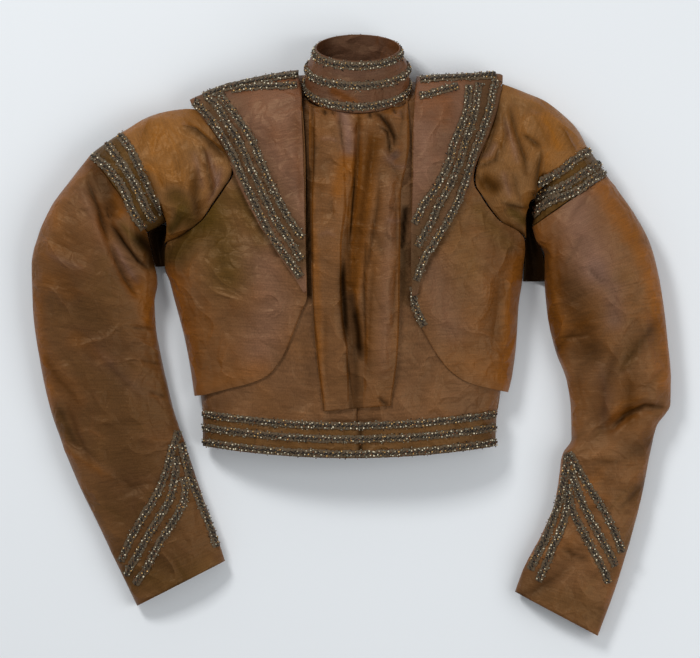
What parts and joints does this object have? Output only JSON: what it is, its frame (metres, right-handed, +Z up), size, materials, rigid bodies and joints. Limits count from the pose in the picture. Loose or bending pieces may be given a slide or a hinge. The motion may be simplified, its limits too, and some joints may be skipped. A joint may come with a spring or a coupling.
{
  "type": "beaded jacket",
  "caption": "Short silk jacket with a standing collar, pleated front, puffed sleeve heads and beaded braid, laid on its back and lightly filled out.",
  "frame": {"origin": "middle of the jacket's outline, on the surface that it lies on", "axes": "+X toward the sleeve on the right of the picture, +Y from hem to collar, +Z up from the back to the front"},
  "size_m": [0.7034, 0.662, 0.0996],
  "materials": {
    "silk": "bronze brown shot silk taffeta, soft sheen",
    "silk_bronze": "the same silk where it turns orange bronze",
    "silk_dark": "the same silk where it turns olive brown",
    "silk_mauve": "the same silk where it turns mauve brown",
    "beaded_braid": "opaque dark, steel grey and cream glass beads on a twisted gimp"
  },
  "bodies": {
    "root": {"arm_band_left": "silk", "arm_band_left_braid_low": "beaded_braid", "arm_band_left_braid_middle": "beaded_braid", "arm_band_left_braid_top": "beaded_braid", "arm_band_right": "silk", "arm_band_right_braid_low": "beaded_braid", "arm_band_right_braid_middle": "beaded_braid", "arm_band_right_braid_top": "beaded_braid", "back": "silk_dark", "bolero_left": "silk", "bolero_right": "silk", "bolero_right_braid": "beaded_braid", "collar": "silk_mauve", "collar_braid_base": "beaded_braid", "collar_braid_middle": "beaded_braid", "collar_braid_top": "beaded_braid", "cuff_left_braid_1": "beaded_braid", "cuff_left_braid_2": "beaded_braid", "cuff_left_braid_3": "beaded_braid", "cuff_left_braid_4": "beaded_braid", "cuff_right_braid_1": "beaded_braid", "cuff_right_braid_2": "beaded_braid", "cuff_right_braid_3": "beaded_braid", "cuff_right_braid_4": "beaded_braid", "cuff_right_braid_5": "beaded_braid", "front_left": "silk_dark", "front_right": "silk_dark", "plastron": "silk", "revers_left": "silk_mauve", "revers_left_braid_inner": "beaded_braid", "revers_left_braid_middle": "beaded_braid", "revers_left_braid_outer": "beaded_braid", "revers_right": "silk_mauve", "revers_right_braid_inner": "beaded_braid", "revers_right_braid_middle": "beaded_braid", "revers_right_braid_outer": "beaded_braid", "shoulder_left_braid_low": "beaded_braid", "shoulder_left_braid_top": "beaded_braid", "shoulder_right_braid_low": "beaded_braid", "shoulder_right_braid_top": "beaded_braid", "sleeve_left": "silk", "sleeve_puff_left": "silk_bronze", "sleeve_puff_right": "silk_bronze", "sleeve_right": "silk", "underarm_left": "silk_dark", "underarm_right": "silk_dark", "waist_braid_bottom": "beaded_braid", "waist_braid_middle": "beaded_braid", "waist_braid_top": "beaded_braid", "waistband": "silk"}
  },
  "joints": []
}
